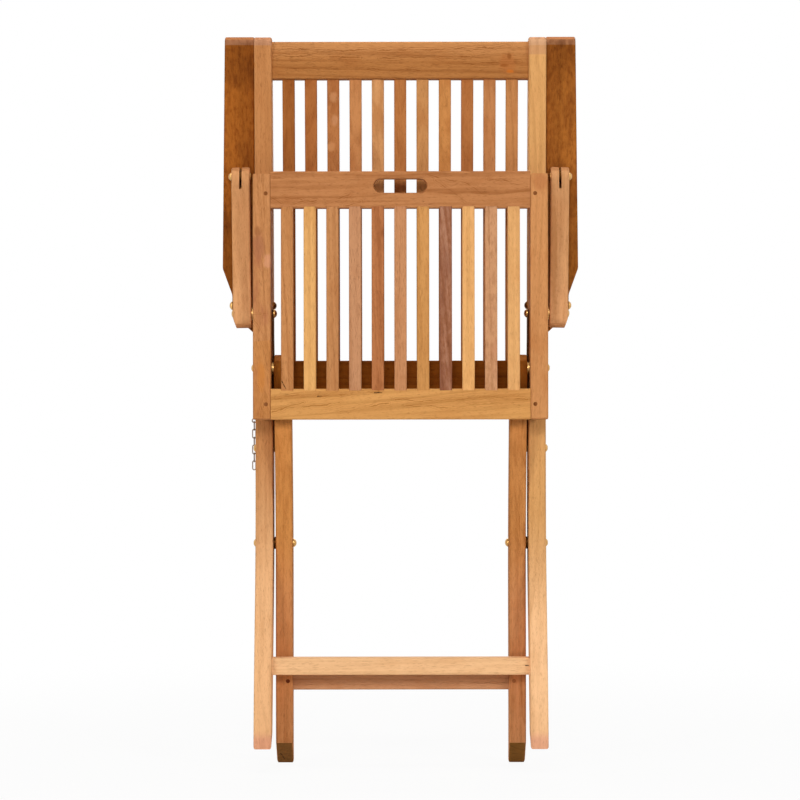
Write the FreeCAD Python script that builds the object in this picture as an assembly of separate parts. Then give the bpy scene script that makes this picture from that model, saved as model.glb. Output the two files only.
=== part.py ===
import FreeCAD, Part
import math
import os

# Folding slatted armchair, folded flat and standing on its rear legs.
# X runs across the chair, the front faces -Y, Z is up and 0 is the ground. Millimetres.
# Lengths called forward are measured from the back frame's plane towards the viewer.

# Across the chair
frame_half_width = 215.0
frame_member = 26.0
leg_gap = 3.6
leg_member = 25.0
slat_count = 11
slat_width = 18.0
slat_end_gap = 15.0
slat_thick = 12.0
rail_thick = 22.0
tenon_length = 20.0
tenon_thick = 10.0
tenon_shoulder = 6.0
mortise_spare = 0.5
edge_round = 2.5
slat_round = 1.8

# Heights of the pivots above the ground, and how far forward they lie
cross_height = 330.0
cross_forward = 0.0
link_low_height = 471.0
leg_top_height = 589.5
link_rise = 80.1
arm_pivot_height = 683.2
arm_pivot_forward = 2.0
strut_pin_height = 872.5
strut_pin_forward = 28.0
seat_pivot_forward = 46.0

# How far the legs open, and the seat's turn against the back frame by then
open_angle = 73.1
seat_open_angle = 63.25

# Back frame: sabre-curved stiles that are also the front legs
stile_foot_height = 34.2
stile_foot_forward = 60.0
stile_top_height = 1076.6
stile_top_forward = 32.0
stile_low_height = 153.0
stile_low_forward = 40.0
stile_cross_forward = 4.0
stile_straight_height = 598.0
stile_high_height = 877.0
stile_high_forward = 14.0
stile_foot_depth = 34.0
stile_low_depth = 40.4
stile_depth = 44.6
stile_high_depth = 39.0
stile_top_depth = 32.0
stile_top_round = 9.0
top_rail_height = 54.6
top_rail_drop = 6.4
low_rail_top = 601.0
low_rail_height = 54.0
back_slat_sink = 9.0
front_stretcher_base = 139.0
front_stretcher_height = 25.0

# Leg frame: the rear legs, whose tops carry the seat
leg_foot_depth = 35.0
leg_cross_depth = 37.0
leg_middle_depth = 36.0
leg_straight_height = 352.0
leg_straight_forward = 3.0
leg_middle_forward = 22.0
leg_top_radius = 19.5
rear_stretcher_base = 112.3
rear_stretcher_height = 28.0

# Seat frame, flat towards the viewer when folded
seat_face_forward = 79.0
seat_front_height = 514.0
seat_rail_end_height = 872.0
seat_rail_depth = 46.0
seat_rail_end_depth = 26.0
seat_taper_start = 775.0
seat_front_round = 16.0
seat_corner_round = 4.0
seat_rail_thick = 18.0
front_rail_height = 45.0
handle_rail_height = 53.8
handle_rail_rise = 3.5
handle_tenon_drop = 9.0
hand_slot_length = 77.0
hand_slot_height = 20.4
hand_slot_drop = 21.1
seat_slat_sink = 9.0
slat_stub_width = 12.0
slat_stub_thick = 6.0
slat_face_drop = 1.0
handle_peg_share = 0.4

# Armrests and the struts under them
arm_clearance = 1.6
arm_thick = 24.0
arm_front_height = 1083.0
arm_front_width = 43.9
arm_widest_width = 47.4
arm_shoulder_height = 738.0
arm_heel_width = 33.2
arm_heel_height = 699.0
arm_heel_cut_height = 671.5
arm_nose_round = 11.0
arm_shoulder_round = 12.0
arm_heel_round = 20.0
strut_top_clearance = 6.8
strut_foot_clearance = 3.2
strut_width = 27.1
strut_depth = 28.0
strut_top_past_pin = 14.0
strut_foot_past_bolt = 21.0
strut_taper_start = 6.4
strut_foot_taper = 4.5
strut_slit_width = 3.6
strut_slit_depth = 33.0
tab_thick = 2.6
tab_reach = 9.0
bracket_width = 20.0
bracket_height = 28.0
bracket_thick = 2.5
bracket_screw_across = 6.2
bracket_screw_offset = 8.6
bracket_screw_radius = 1.75
bracket_screw_length = 14.0
bracket_screw_head_radius = 3.2
screw_slot_width = 0.9
screw_slot_depth = 0.9

# Flat metal links between the back frame and the seat
link_width = 12.0
link_thick = 2.5
link_side_gap = 0.4

# Hardware
bolt_radius = 4.0
bolt_clearance = 0.08
head_radius = 6.2
head_height = 4.4
strut_head_height = 3.0
socket_width = 4.0
socket_depth = 2.0
cap_nut_radius = 6.2
cap_nut_height = 4.8
cross_nut_height = 5.0
thin_nut_height = 2.6
washer_radius = 9.2
strut_pin_radius = 3.0
strut_pin_head_radius = 6.0
strut_pin_head_height = 5.0
strut_pin_nut_radius = 5.4
strut_pin_nut_height = 2.6
sleeve_radius = 5.5
sleeve_bore = 3.3
face_gap = 0.3
dome_rim_share = 0.25
thread_share = 0.6
peg_radius = 3.0
peg_length = 16.0
peg_inset = 7.0

# Screw eye and chain on the outside of the left front leg
eye_height = 512.0
eye_forward = -14.0
eye_ring_radius = 2.9
eye_wire_radius = 0.9
eye_shank_length = 14.0
chain_link_count = 6
chain_link_inner = 11.9
chain_link_slack = 0.1
chain_link_width = 6.4
chain_wire_radius = 0.8

# Worked out from the sizes above
seat_link_height = leg_top_height + link_rise
frame_inner = frame_half_width - frame_member
leg_outer = frame_inner - leg_gap
leg_inner = leg_outer - leg_member
arm_inner = frame_half_width + arm_clearance
strut_top_inner = frame_half_width + strut_top_clearance
strut_foot_inner = frame_half_width + strut_foot_clearance
link_outer = frame_inner - link_side_gap
link_inner = link_outer - link_thick
seat_back_forward = seat_face_forward - seat_rail_depth
hole_radius = bolt_radius + bolt_clearance
overlap = 1.0

# The origin lies on the ground under the middle of the folded chair
origin_forward = (seat_face_forward - stile_depth / 2) / 2


def place(across, forward, height):
    return FreeCAD.Vector(across, origin_forward - forward, height)


def forward_of(point):
    return origin_forward - point.y


def mirrored(shape):
    return shape.mirror(FreeCAD.Vector(0, 0, 0), FreeCAD.Vector(1, 0, 0))


def save(name, shape):
    shape.exportStep("parts/" + name + ".step")


def save_pair(name, right_shape):
    save(name + "_right", right_shape)
    save(name + "_left", mirrored(right_shape))


def both_sides(right_shapes):
    return Part.makeCompound(right_shapes + [mirrored(s) for s in right_shapes])


# A block between two corners given as across, forward and height
def block(across, forward, height):
    size = (across[1] - across[0], forward[1] - forward[0], height[1] - height[0])
    return Part.makeBox(size[0], size[1], size[2], place(across[0], forward[1], height[0]))


# A round bar along X
def bar(across, radius, forward, height):
    start = place(across[0], forward, height)
    return Part.makeCylinder(radius, across[1] - across[0], start, FreeCAD.Vector(1, 0, 0))


# A domed head whose flat side is at across and whose dome points along direction, 1 or -1
def dome(across, direction, radius, rise, forward, height):
    axis = FreeCAD.Vector(direction, 0, 0)
    rim = rise * dome_rim_share
    cap = rise - rim
    ball = (radius ** 2 + cap ** 2) / (2 * cap)
    centre = place(across + direction * (rise - ball), forward, height)
    latitude = math.degrees(math.asin((ball - cap) / ball))
    crown = Part.makeSphere(ball, centre, axis, latitude, 90, 360)
    edge = Part.makeCylinder(radius, rim, place(across, forward, height), axis)
    return edge.fuse(crown)


# A ring along X
def ring(across, outer, inner, forward, height):
    return bar(across, outer, forward, height).cut(bar(across, inner, forward, height))


# Six-sided recess for the key in a domed head whose crown is at across
def socket(across, forward, height):
    corners = []
    for i in range(7):
        turn = math.radians(60 * i)
        reach = socket_width / math.sqrt(3)
        corners.append(place(across + overlap, forward + reach * math.cos(turn),
                             height + reach * math.sin(turn)))
    outline = Part.Face(Part.makePolygon(corners))
    return outline.extrude(FreeCAD.Vector(-socket_depth - overlap, 0, 0))


# A bolt through the frame: domed head outside at head_at, shank down to end_at
def bolt(head_at, end_at, forward, height, rise=head_height):
    shank = bar((end_at, head_at), bolt_radius, forward, height)
    head = dome(head_at, 1, head_radius, rise, forward, height)
    return shank.fuse(head).cut(socket(head_at + rise, forward, height))


# A cap nut on the end of a bolt, its flat side at face_at and its dome towards the middle
def cap_nut(face_at, rise, forward, height):
    thread_end = face_at - rise * thread_share
    nut = dome(face_at, -1, cap_nut_radius, rise, forward, height)
    return nut.cut(bar((thread_end, face_at), bolt_radius, forward, height)), thread_end


# Spline through points given as forward and height
def curve(points):
    spline = Part.BSplineCurve()
    spline.interpolate([place(0, p[0], p[1]) for p in points])
    return spline.toShape()


def line(start, end):
    return Part.makeLine(place(0, start[0], start[1]), place(0, end[0], end[1]))


# A side outline, drawn at X 0, as a solid between two X positions
def plank(edges, across):
    face = Part.Face(Part.Wire(edges))
    solid = face.extrude(FreeCAD.Vector(across[1] - across[0], 0, 0))
    solid.translate(FreeCAD.Vector(across[0], 0, 0))
    return solid


# Rounds the edges that lie wholly in one of the two side faces
def soften_sides(solid, across, radius):
    chosen = []
    for edge in solid.Edges:
        box = edge.BoundBox
        flat = box.XLength < 0.01
        if flat and min(abs(box.XMin - across[0]), abs(box.XMin - across[1])) < 0.01:
            chosen.append(edge)
    return solid.makeFillet(radius, chosen)


# Rounds the edges along one axis, 0, 1 or 2, that also pass the test given
def soften_along(solid, axis, radius, wanted):
    chosen = []
    for edge in solid.Edges:
        box = edge.BoundBox
        spans = [box.XLength, box.YLength, box.ZLength]
        long_enough = spans[axis] > radius
        thin = max(spans[(axis + 1) % 3], spans[(axis + 2) % 3]) < 0.01
        if long_enough and thin and wanted(box.Center):
            chosen.append(edge)
    return solid.makeFillet(radius, chosen)


def anywhere(centre):
    return True


def between(low, high, share):
    return low + (high - low) * share


# Height and forward points of the stiles' middle line
stile_stations = [
    (stile_foot_forward, stile_foot_height, stile_foot_depth),
    (stile_low_forward, stile_low_height, stile_low_depth),
    (stile_cross_forward, cross_height, stile_depth),
    (0.0, link_low_height, stile_depth),
    (0.0, stile_straight_height, stile_depth),
    (arm_pivot_forward, arm_pivot_height, stile_depth),
    (stile_high_forward, stile_high_height, stile_high_depth),
    (stile_top_forward, stile_top_height, stile_top_depth),
]


def stile_forward(height):
    for low, high in zip(stile_stations, stile_stations[1:]):
        if height <= high[1]:
            return between(low[0], high[0], (height - low[1]) / (high[1] - low[1]))
    return stile_top_forward


# The ground as the opened chair meets it, seen from the back frame: its fall per forward length
def ground_fall():
    turn = math.radians(open_angle)
    rear = -leg_foot_depth / 2 - cross_forward
    drop = -cross_height
    rear_forward = math.cos(turn) * rear + math.sin(turn) * drop
    rear_height = -math.sin(turn) * rear + math.cos(turn) * drop
    front_forward = stile_foot_forward + stile_foot_depth / 2 - cross_forward
    front_height = stile_foot_height - cross_height
    return (rear_height - front_height) / (front_forward - rear_forward)


def make_stile():
    across = (frame_inner, frame_half_width)
    fall = ground_fall()
    front = [(c + d / 2, h) for c, h, d in stile_stations]
    rear = [(c - d / 2, h) for c, h, d in stile_stations]
    rear[0] = (rear[0][0], rear[0][1] + fall * stile_foot_depth)
    edges = [curve(rear), line(rear[-1], front[-1]), curve(front[::-1]), line(front[0], rear[0])]
    stile = plank(edges, across)
    stile = soften_along(stile, 0, stile_top_round, lambda c: c.z > stile_high_height)
    stile = soften_sides(stile, across, edge_round)
    for height, forward in ((arm_pivot_height, arm_pivot_forward), (cross_height, cross_forward)):
        stile = stile.cut(bar(across, bolt_radius, forward, height))
    return stile.cut(bar(across, bolt_radius, 0, link_low_height))


# Tenon block that reaches from a rail's end into the member beside it
def tenon(inner, forward, base, top, length):
    half = tenon_thick / 2
    heights = (base + tenon_shoulder, top - tenon_shoulder)
    return block((inner - overlap, inner + length), (forward - half, forward + half), heights)


# A rail between two members, with a tenon on each end that may lie lower than the rail's top
def make_rail(half_length, forward, base, height, thick, tenon_drop=0):
    top = base + height
    body = block((-half_length, half_length), (forward - thick / 2, forward + thick / 2), (base, top))
    body = soften_along(body, 0, edge_round, anywhere)
    reach = tenon(half_length, forward, base, top - tenon_drop, tenon_length)
    return body.fuse(reach).fuse(mirrored(reach)).removeSplitter()


def mortise(half_length, forward, base, height, tenon_drop=0):
    return tenon(half_length, forward, base, base + height - tenon_drop, tenon_length + mortise_spare)


# Middles of the slats, spread evenly between the same gap at each end
def slat_positions():
    last = frame_inner - slat_end_gap - slat_width / 2
    pitch = 2 * last / (slat_count - 1)
    return [pitch * i - last for i in range(slat_count)]


back_rail_top = stile_top_height - top_rail_drop
back_rail_base = back_rail_top - top_rail_height
low_rail_base = low_rail_top - low_rail_height
top_rail_forward = stile_forward(between(back_rail_base, back_rail_top, 0.5))
front_stretcher_forward = stile_forward(front_stretcher_base + front_stretcher_height / 2)


# One back slat, bent to the stiles' line
def make_back_slat(middle):
    across = (middle - slat_width / 2, middle + slat_width / 2)
    heights = [low_rail_top - back_slat_sink, arm_pivot_height, stile_high_height]
    heights.append(back_rail_base + back_slat_sink)
    front = [(stile_forward(h) + slat_thick / 2, h) for h in heights]
    rear = [(stile_forward(h) - slat_thick / 2, h) for h in heights]
    edges = [curve(rear), line(rear[-1], front[-1]), curve(front[::-1]), line(front[0], rear[0])]
    return soften_sides(plank(edges, across), across, slat_round)


def make_back_frame():
    top_rail = make_rail(frame_inner, top_rail_forward, back_rail_base, top_rail_height, rail_thick)
    low_rail = make_rail(frame_inner, 0, low_rail_base, low_rail_height, rail_thick)
    stretcher = make_rail(frame_inner, front_stretcher_forward, front_stretcher_base,
                          front_stretcher_height, rail_thick)
    stile = make_stile()
    stile = stile.cut(mortise(frame_inner, top_rail_forward, back_rail_base, top_rail_height))
    stile = stile.cut(mortise(frame_inner, 0, low_rail_base, low_rail_height))
    stile = stile.cut(mortise(frame_inner, front_stretcher_forward, front_stretcher_base,
                              front_stretcher_height))
    save("back_stile_right", stile)
    save("back_stile_left", mirrored(stile).cut(eye_shank()))
    for i, middle in enumerate(slat_positions()):
        slat = make_back_slat(middle)
        top_rail = top_rail.cut(slat)
        low_rail = low_rail.cut(slat)
        save("back_slat_%02d" % (i + 1), slat)
    save("back_top_rail", top_rail)
    save("back_low_rail", low_rail)
    save("front_stretcher", stretcher)


# The rear leg's middle line and depth, straight as far as its bend
def leg_station(height):
    share = height / leg_straight_height
    return (leg_straight_forward * share, height, between(leg_foot_depth, leg_cross_depth, share))


# Rear leg: foot cut to stand level when the chair is open, round top under the seat
def make_rear_leg():
    across = (leg_inner, leg_outer)
    lean = math.atan2(seat_pivot_forward - leg_middle_forward, leg_top_height - link_low_height)
    side = (leg_top_radius * math.cos(lean), -leg_top_radius * math.sin(lean))
    crown = (seat_pivot_forward + leg_top_radius * math.sin(lean),
             leg_top_height + leg_top_radius * math.cos(lean))
    top_front = (seat_pivot_forward + side[0], leg_top_height + side[1])
    top_rear = (seat_pivot_forward - side[0], leg_top_height - side[1])
    stations = [leg_station(0), leg_station(cross_height / 2), leg_station(leg_straight_height)]
    stations.append((leg_middle_forward, link_low_height, leg_middle_depth))
    front = [(c + d / 2, h) for c, h, d in stations] + [top_front]
    rear = [(c - d / 2, h) for c, h, d in stations] + [top_rear]
    floor_turn = math.radians(open_angle) - math.atan(ground_fall())
    cut_rise = leg_foot_depth * math.tan(floor_turn)
    front[0] = (front[0][0], cut_rise)
    arc = Part.Arc(place(0, *top_rear), place(0, *crown), place(0, *top_front)).toShape()
    edges = [curve(rear), arc, curve(front[::-1]), line(front[0], rear[0])]
    leg = soften_sides(plank(edges, across), across, edge_round)
    leg = leg.cut(bar(across, hole_radius, cross_forward, cross_height))
    return leg.cut(bar(across, hole_radius, seat_pivot_forward, leg_top_height))


def make_leg_frame():
    base = rear_stretcher_base
    stretcher = make_rail(leg_inner, 0, base, rear_stretcher_height, rail_thick)
    leg = make_rear_leg()
    middle, height, depth = leg_station(base + rear_stretcher_height / 2)
    peg = make_peg(leg_inner + peg_inset, height, middle + depth / 2 + overlap).common(leg)
    leg = leg.cut(mortise(leg_inner, 0, base, rear_stretcher_height))
    save_pair("rear_leg", leg.cut(peg))
    stretcher = stretcher.cut(both_sides([peg]))
    save("rear_stretcher", stretcher)
    save("rear_leg_pegs", both_sides([peg]))


# A round wooden peg driven in from the front, its face at face_forward
def make_peg(across, height, face_forward):
    start = place(across, face_forward - peg_length, height)
    return Part.makeCylinder(peg_radius, peg_length, start, FreeCAD.Vector(0, -1, 0))


seat_rail_forward = seat_face_forward - seat_rail_thick / 2
handle_rail_top = seat_rail_end_height + handle_rail_rise
handle_rail_base = handle_rail_top - handle_rail_height
front_rail_top = seat_front_height + front_rail_height


# Side rail of the seat: deep at the pivots, thinner at the rear, bevelled to meet the back frame
def make_seat_rail():
    across = (frame_inner, frame_half_width)
    bevel = seat_rail_end_depth / math.tan(math.radians(seat_open_angle))
    end_forward = seat_face_forward - seat_rail_end_depth
    points = [
        (seat_face_forward, seat_front_height),
        (seat_face_forward, seat_rail_end_height),
        (end_forward, seat_rail_end_height - bevel),
        (seat_back_forward, seat_taper_start),
        (seat_back_forward, seat_front_height),
    ]
    edges = [line(a, b) for a, b in zip(points, points[1:] + points[:1])]
    rail = plank(edges, across)
    rail = soften_along(rail, 0, seat_front_round,
                        lambda c: c.z < seat_front_height + overlap and forward_of(c) < seat_rail_forward)
    rail = soften_along(rail, 0, seat_corner_round,
                        lambda c: c.z < seat_front_height + overlap and forward_of(c) > seat_rail_forward)
    rail = soften_sides(rail, across, edge_round)
    rail = rail.cut(bar(across, bolt_radius, seat_pivot_forward, leg_top_height))
    return rail.cut(bar(across, sleeve_radius, seat_pivot_forward, seat_link_height))


def hand_slot():
    half = hand_slot_length / 2 - hand_slot_height / 2
    height = handle_rail_top - hand_slot_drop
    radius = hand_slot_height / 2
    forward = (seat_face_forward - seat_rail_thick - overlap, seat_face_forward + overlap)
    slot = block((-half, half), forward, (height - radius, height + radius))
    for side in (-half, half):
        end = Part.makeCylinder(radius, forward[1] - forward[0], place(side, forward[0], height),
                                FreeCAD.Vector(0, -1, 0))
        slot = slot.fuse(end)
    return slot.removeSplitter()


# Rounds the hand slot's rims on both faces of the rail
def soften_slot(rail):
    half = hand_slot_length / 2 + overlap
    height = handle_rail_top - hand_slot_drop
    chosen = []
    for edge in rail.Edges:
        box = edge.BoundBox
        near = abs(box.Center.z - height) < hand_slot_height / 2 + overlap
        inside = box.XMin > -half and box.XMax < half
        if near and inside and box.YLength < 0.01:
            chosen.append(edge)
    return rail.makeFillet(edge_round, chosen)


def make_seat_slat(middle):
    across = (middle - slat_width / 2, middle + slat_width / 2)
    face = seat_face_forward - slat_face_drop
    forward = (face - slat_thick, face)
    heights = (front_rail_top - edge_round, handle_rail_base + edge_round)
    slat = soften_along(block(across, forward, heights), 2, slat_round, anywhere)
    centre = face - slat_thick / 2
    half = slat_stub_width / 2
    stub = block((middle - half, middle + half),
                 (centre - slat_stub_thick / 2, centre + slat_stub_thick / 2),
                 (front_rail_top - seat_slat_sink, handle_rail_base + seat_slat_sink))
    return slat.fuse(stub).removeSplitter()


# Nothing of the rails may stand over the slats' ends
def slat_housing(middle):
    across = (middle - slat_width / 2, middle + slat_width / 2)
    forward = (seat_face_forward - slat_face_drop - overlap, seat_face_forward + overlap)
    return block(across, forward, (front_rail_top - edge_round, handle_rail_base + edge_round))


def make_seat():
    front_rail = make_rail(frame_inner, seat_rail_forward, seat_front_height, front_rail_height,
                           seat_rail_thick)
    handle_rail = make_rail(frame_inner, seat_rail_forward, handle_rail_base, handle_rail_height,
                            seat_rail_thick, handle_tenon_drop)
    handle_rail = soften_slot(handle_rail.cut(hand_slot()))
    rail = make_seat_rail()
    rail = rail.cut(mortise(frame_inner, seat_rail_forward, seat_front_height, front_rail_height))
    rail = rail.cut(mortise(frame_inner, seat_rail_forward, handle_rail_base, handle_rail_height,
                            handle_tenon_drop))
    across = frame_inner + peg_inset
    front_peg = make_peg(across, seat_front_height + front_rail_height / 2, seat_face_forward)
    handle_peg = make_peg(across, between(handle_rail_base, handle_rail_top, handle_peg_share),
                          seat_face_forward)
    pegs = both_sides([front_peg, handle_peg])
    save_pair("seat_side_rail", rail.cut(front_peg).cut(handle_peg))
    front_rail = front_rail.cut(pegs)
    handle_rail = handle_rail.cut(pegs)
    for i, middle in enumerate(slat_positions()):
        slat = make_seat_slat(middle)
        front_rail = front_rail.cut(slat).cut(slat_housing(middle))
        handle_rail = handle_rail.cut(slat).cut(slat_housing(middle))
        save("seat_slat_%02d" % (i + 1), slat)
    save("seat_front_rail", front_rail)
    save("seat_handle_rail", handle_rail)
    save("seat_pegs", pegs)


strut_middle = strut_top_inner + strut_width / 2
arm_under = arm_thick / 2


# An arc of the given radius that rounds the corner between two straight runs
def corner_arc(before, at, after, radius):
    back = (before - at).normalize()
    ahead = (after - at).normalize()
    half_turn = back.getAngle(ahead) / 2
    middle = (back + ahead).normalize()
    tangent = radius / math.tan(half_turn)
    crown = radius / math.sin(half_turn) - radius
    return at + back * tangent, at + middle * crown, at + ahead * tangent


# Armrest board: straight inside, rounded front end, widest near the rear, then drawn in to a heel
def make_arm():
    inner = arm_inner
    heel = inner + arm_heel_width
    tip_height = arm_heel_cut_height - arm_heel_width + edge_round

    def corner(across, height):
        return place(inner + across, arm_under, height)

    cut = corner(arm_heel_width, arm_heel_cut_height)
    shoulder = corner(arm_widest_width, arm_shoulder_height)
    waist = corner(arm_heel_width, arm_heel_height)
    front = corner(arm_front_width, arm_front_height)
    at_waist = corner_arc(cut, waist, shoulder, arm_heel_round)
    at_shoulder = corner_arc(waist, shoulder, front, arm_shoulder_round)
    runs = [(at_waist[2], at_shoulder[0]), (at_shoulder[2], front), (front, corner(0, arm_front_height)),
            (corner(0, arm_front_height), corner(0, tip_height)), (corner(0, tip_height), cut),
            (cut, at_waist[0])]
    edges = [Part.Arc(*at_waist).toShape(), Part.Arc(*at_shoulder).toShape()]
    edges = Part.__sortEdges__(edges + [Part.makeLine(start, end) for start, end in runs])
    arm = Part.Face(Part.Wire(edges)).extrude(FreeCAD.Vector(0, arm_thick, 0))
    arm = soften_along(arm, 0, arm_nose_round, lambda c: c.z > arm_front_height - overlap)
    nose_base = arm_front_height - arm_nose_round
    chosen = []
    for edge in arm.Edges:
        box = edge.BoundBox
        along_nose = box.XLength > arm_nose_round and box.Center.z > nose_base - overlap
        through = box.YLength > overlap and box.Center.z < nose_base
        if not along_nose and not through:
            chosen.append(edge)
    arm = arm.makeFillet(edge_round, chosen)
    arm = arm.cut(bar((inner, heel), hole_radius, arm_pivot_forward, arm_pivot_height))
    return arm.cut(bracket_plate())


def bracket_plate():
    across = (strut_middle - bracket_width / 2, strut_middle + bracket_width / 2)
    heights = (strut_pin_height - bracket_height / 2, strut_pin_height + bracket_height / 2)
    return block(across, (arm_under - bracket_thick, arm_under), heights)


# Two slotted screws, one on each side of the bracket's tab
def bracket_screws():
    screws = []
    for side in (-1, 1):
        across = strut_middle + side * bracket_screw_across
        height = strut_pin_height - side * bracket_screw_offset
        start = place(across, arm_under, height)
        back = FreeCAD.Vector(0, 1, 0)
        head = Part.makeCone(bracket_screw_head_radius, bracket_screw_radius, bracket_thick, start, back)
        shank = Part.makeCylinder(bracket_screw_radius, bracket_screw_length, start, back)
        reach = bracket_screw_head_radius + overlap
        slot = block((across - reach, across + reach), (arm_under - screw_slot_depth, arm_under + overlap),
                     (height - screw_slot_width / 2, height + screw_slot_width / 2))
        screws.append((head.fuse(shank), slot))
    return screws


# Plate let into the arm's underside, with a tab that stands out to the strut's pin
def make_bracket():
    across = (strut_middle - tab_thick / 2, strut_middle + tab_thick / 2)
    heights = (strut_pin_height - tab_reach, strut_pin_height + tab_reach)
    tab = block(across, (arm_under - overlap, strut_pin_forward), heights)
    tab = tab.fuse(bar(across, tab_reach, strut_pin_forward, strut_pin_height))
    bracket = bracket_plate().fuse(tab).removeSplitter()
    bore = strut_pin_radius + bolt_clearance
    return bracket.cut(bar(across, bore, strut_pin_forward, strut_pin_height))


def make_arms():
    arm = make_arm()
    bracket = make_bracket()
    screws = []
    for screw, slot in bracket_screws():
        arm = arm.cut(screw)
        bracket = bracket.cut(screw)
        screws.append(screw.cut(slot))
    save_pair("arm", arm)
    save_pair("arm_bracket", bracket)
    save_pair("arm_bracket_screws", Part.makeCompound(screws))


# Wedge taken off the outer corner of the strut's foot
def foot_wedge():
    outer = strut_foot_inner + strut_width
    start = seat_link_height - strut_taper_start
    span = strut_foot_past_bolt - strut_taper_start
    reach = strut_depth
    points = [(outer + strut_foot_taper, start + span), (outer - strut_foot_taper, start - span),
              (outer + strut_foot_taper, start - span)]
    corners = [place(across, seat_pivot_forward + reach, height) for across, height in points]
    return Part.Face(Part.makePolygon(corners + corners[:1])).extrude(FreeCAD.Vector(0, 2 * reach, 0))


# Strut between the arm's bracket and the seat's side, round at both ends. Its top stands further out
def make_strut():
    across = (strut_foot_inner, strut_foot_inner + strut_width)
    rise = strut_pin_height - seat_link_height
    lean = math.atan2(strut_pin_forward - seat_pivot_forward, rise)
    along = (math.sin(lean), math.cos(lean))
    side = (math.cos(lean) * strut_depth / 2, -math.sin(lean) * strut_depth / 2)
    radius = strut_depth / 2
    foot_step = strut_foot_past_bolt - radius
    foot = (seat_pivot_forward - along[0] * foot_step, seat_link_height - along[1] * foot_step)
    head_step = strut_top_past_pin - radius
    head = (strut_pin_forward + along[0] * head_step, strut_pin_height + along[1] * head_step)

    def beside(centre, sign):
        return (centre[0] + sign * side[0], centre[1] + sign * side[1])

    def beyond(centre, sign):
        return (centre[0] + sign * along[0] * radius, centre[1] + sign * along[1] * radius)

    ends = []
    for centre, sign in ((head, 1), (foot, -1)):
        points = [beside(centre, -sign), beyond(centre, sign), beside(centre, sign)]
        ends.append(Part.Arc(*[place(0, *p) for p in points]).toShape())
    edges = [line(beside(foot, -1), beside(head, -1)), ends[0]]
    edges += [line(beside(head, 1), beside(foot, 1)), ends[1]]
    strut = soften_sides(plank(edges, across), across, edge_round).cut(foot_wedge())
    spread = math.degrees(math.asin((strut_top_inner - strut_foot_inner) / rise))
    strut.rotate(place(strut_foot_inner, 0, seat_link_height), FreeCAD.Vector(0, 1, 0), spread)
    across = (strut_foot_inner - overlap, strut_top_inner + strut_width + overlap)
    half_slit = strut_slit_width / 2
    slit_base = head[1] + radius - strut_slit_depth
    slit = block((strut_middle - half_slit, strut_middle + half_slit),
                 (head[0] - strut_depth, head[0] + strut_depth), (slit_base, head[1] + strut_depth))
    strut = strut.cut(slit)
    strut = strut.cut(bar(across, strut_pin_radius, strut_pin_forward, strut_pin_height))
    return strut.cut(bar(across, bolt_radius, seat_pivot_forward, seat_link_height))


# Pin through the strut's fork, and the bolt and washer at its foot
def strut_fasteners():
    outer = strut_top_inner + strut_width
    pin = bar((strut_top_inner, outer), strut_pin_radius, strut_pin_forward, strut_pin_height)
    head = dome(outer, 1, strut_pin_head_radius, strut_pin_head_height, strut_pin_forward, strut_pin_height)
    nut = dome(strut_top_inner, -1, strut_pin_nut_radius, strut_pin_nut_height, strut_pin_forward,
               strut_pin_height)
    pin = pin.fuse(head).fuse(nut)
    pin = pin.cut(socket(outer + strut_pin_head_height, strut_pin_forward, strut_pin_height))
    washer_at = (frame_half_width + 2 * face_gap, strut_foot_inner)
    foot_bolt = bolt(strut_foot_inner + strut_width, washer_at[0], seat_pivot_forward, seat_link_height,
                     strut_head_height)
    washer = ring(washer_at, washer_radius, bolt_radius, seat_pivot_forward, seat_link_height)
    return Part.makeCompound([pin, foot_bolt, washer])


def make_struts():
    fasteners = strut_fasteners()
    save_pair("arm_strut", make_strut().cut(fasteners))
    save_pair("strut_fasteners", fasteners)


# Flat link bar with round ends
def make_link():
    across = (link_inner, link_outer)
    low = (0.0, link_low_height)
    high = (seat_pivot_forward, seat_link_height)
    reach = math.hypot(high[0] - low[0], high[1] - low[1])
    lean = math.atan2(high[0] - low[0], high[1] - low[1])
    half = link_width / 2
    body = block(across, (low[0] - half, low[0] + half), (low[1], low[1] + reach))
    body = body.fuse(bar(across, half, *low)).fuse(bar(across, half, low[0], low[1] + reach))
    body = body.removeSplitter()
    body.rotate(place(0, *low), FreeCAD.Vector(1, 0, 0), math.degrees(lean))
    body = body.cut(bar(across, hole_radius, *low))
    return body.cut(bar(across, bolt_radius, *high))


def make_links():
    save_pair("seat_link", make_link())
    nut, thread_end = cap_nut(link_inner, cap_nut_height, seat_pivot_forward, seat_link_height)
    stud = bar((thread_end, link_outer), bolt_radius, seat_pivot_forward, seat_link_height)
    save_pair("seat_link_nut", nut.fuse(stud).removeSplitter())


# Bolts, nuts and washers that stay with the back frame
def make_frame_hardware():
    arm_outer = arm_inner + arm_heel_width
    nut, thread_end = cap_nut(frame_inner, cap_nut_height, arm_pivot_forward, arm_pivot_height)
    arm_bolt = bolt(arm_outer + face_gap, thread_end, arm_pivot_forward, arm_pivot_height)
    save("arm_pivot_bolts", both_sides([arm_bolt, nut]))
    cross_face = leg_inner - face_gap
    nut, thread_end = cap_nut(cross_face, cross_nut_height, cross_forward, cross_height)
    cross_bolt = bolt(frame_half_width, thread_end, cross_forward, cross_height)
    save("cross_bolts", both_sides([cross_bolt, nut]))
    link_bolt = bolt(frame_half_width, link_inner - face_gap, 0, link_low_height)
    save("link_pivot_bolts", both_sides([link_bolt]))
    arm_washer = ring((frame_half_width, arm_inner - face_gap), washer_radius, bolt_radius,
                      arm_pivot_forward, arm_pivot_height)
    cross_washer = ring((leg_outer + face_gap, frame_inner), washer_radius, bolt_radius,
                        cross_forward, cross_height)
    save("arm_pivot_washers", both_sides([arm_washer]))
    save("cross_washers", both_sides([cross_washer]))


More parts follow.
